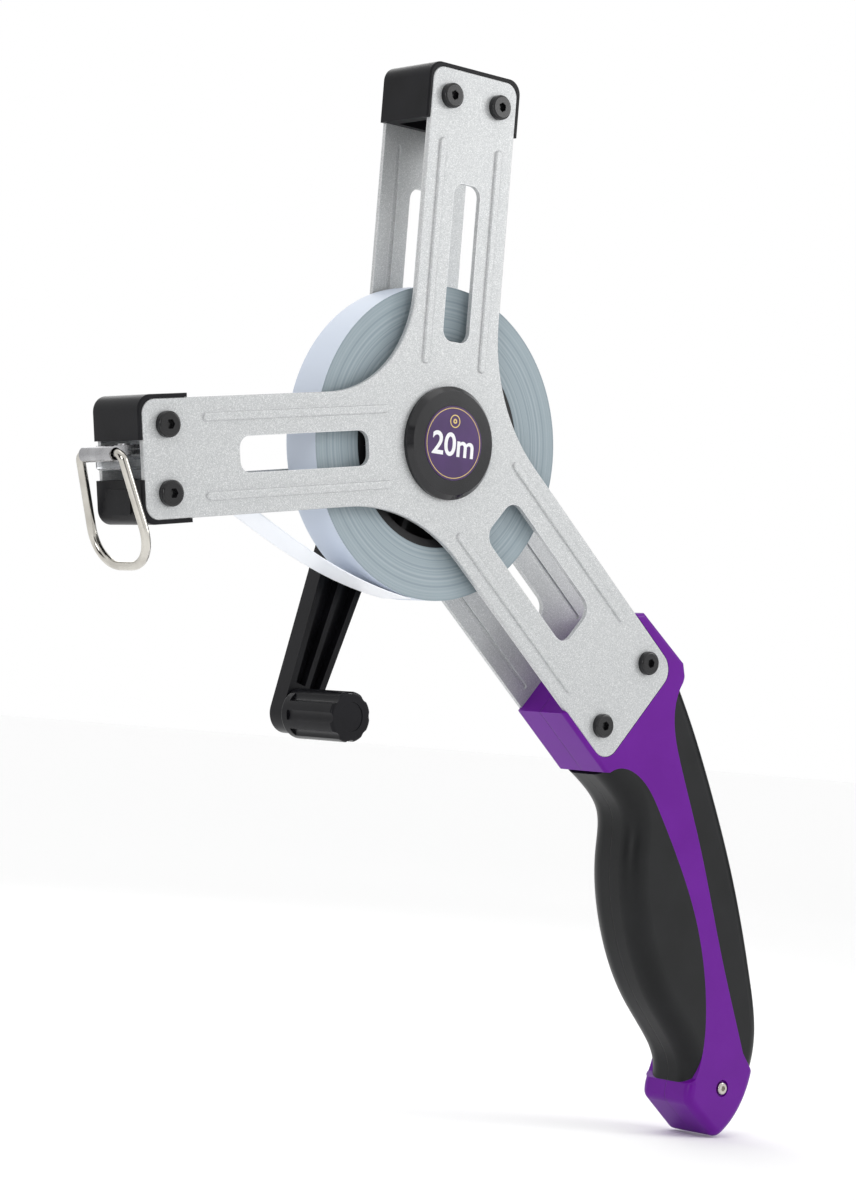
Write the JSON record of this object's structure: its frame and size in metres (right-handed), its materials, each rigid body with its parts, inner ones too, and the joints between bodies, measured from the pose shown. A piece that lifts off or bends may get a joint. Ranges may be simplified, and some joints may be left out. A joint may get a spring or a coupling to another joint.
{
  "type": "surveyor tape reel",
  "caption": "Open-frame measuring tape reel on a pistol handle, with a folding crank, a turning knob, a tape mouth and a D-ring on the tape end.",
  "frame": {"origin": "on the spool's axis, in the plane of the front plate's outer face", "axes": "+Y along the spool's axis from the front plate to the crank, +Z along the top arm, +X to the right seen from the front"},
  "size_m": [0.2646, 0.0374, 0.3092],
  "materials": {
    "silver_coat": "hammered sparkle powder coat",
    "black_cover": "satin",
    "black_steel": "black oxide",
    "black_gloss": "gloss",
    "violet_label": "printed foil",
    "violet_shell": "satin",
    "grip_rubber": "matt",
    "bush_brass": "turned",
    "steel": "turned",
    "core_plastic": "satin",
    "tape": "coated tape, matt",
    "washer_nylon": "natural nylon",
    "crank_plastic": "satin",
    "bright_steel": "polished",
    "clear_plastic": "clear, slightly clouded"
  },
  "bodies": {
    "frame": {"front_plate": "silver_coat", "back_plate": "silver_coat", "top_end_cover": "black_cover", "mouth_block_upper": "black_cover", "mouth_block_lower": "black_cover", "frame_screws": "black_steel", "frame_nuts": "black_steel", "hub_cap": "black_gloss", "hub_label": "violet_label", "front_bush": "bush_brass", "back_bush": "bush_brass", "back_bearing_housing": "black_cover", "handle_shell_front": "violet_shell", "handle_shell_back": "violet_shell", "finger_grip_front": "grip_rubber", "finger_grip_back": "grip_rubber", "palm_grip_front": "grip_rubber", "palm_grip_back": "grip_rubber", "butt_screw": "bright_steel", "butt_nut": "steel"},
    "spool": {"spindle": "steel", "drive_key": "steel", "spool_core": "core_plastic", "tape_coil": "tape", "thrust_washers": "washer_nylon", "crank_carrier": "crank_plastic", "carrier_screw": "steel", "crank_hinge_pin": "steel"},
    "crank": {"crank_arm": "crank_plastic", "knob_pin": "steel"},
    "knob": {"crank_knob": "crank_plastic", "knob_plug": "crank_plastic"},
    "tape_end": {"tape_end_clip": "bright_steel", "clip_rivet": "steel", "clear_sleeve": "clear_plastic", "tape_strip": "tape"},
    "ring": {"hook_ring": "bright_steel"}
  },
  "joints": [
    {"name": "spool_spin", "type": "hinge", "parent": "frame", "child": "spool", "pos_m": [0, 0.0105, 0], "axis": [0, 1, 0], "range_deg": [0, 44]},
    {"name": "crank_fold", "type": "hinge", "parent": "spool", "child": "crank", "pos_m": [0, 0.0305, 0], "axis": [0.9578, 0, -0.2874], "range_deg": [0, 180]},
    {"name": "knob_spin", "type": "hinge", "parent": "crank", "child": "knob", "pos_m": [-0.02414, 0.016, -0.08046], "axis": [0, 1, 0], "continuous": true},
    {"name": "tape_pull", "type": "slide", "parent": "frame", "child": "tape_end", "axis": [-0.9869, 0, -0.1616], "range_m": [0, 0.035], "deforming": ["tape_strip"]},
    {"name": "ring_swing", "type": "hinge", "parent": "tape_end", "child": "ring", "pos_m": [-0.11233, 0.0105, -0.01637], "axis": [0, 1, 0], "range_deg": [0, 200]}
  ],
  "couplings": [
    {"joint": "tape_pull", "follows": "spool_spin", "m_per_rad": 0.04543}
  ]
}
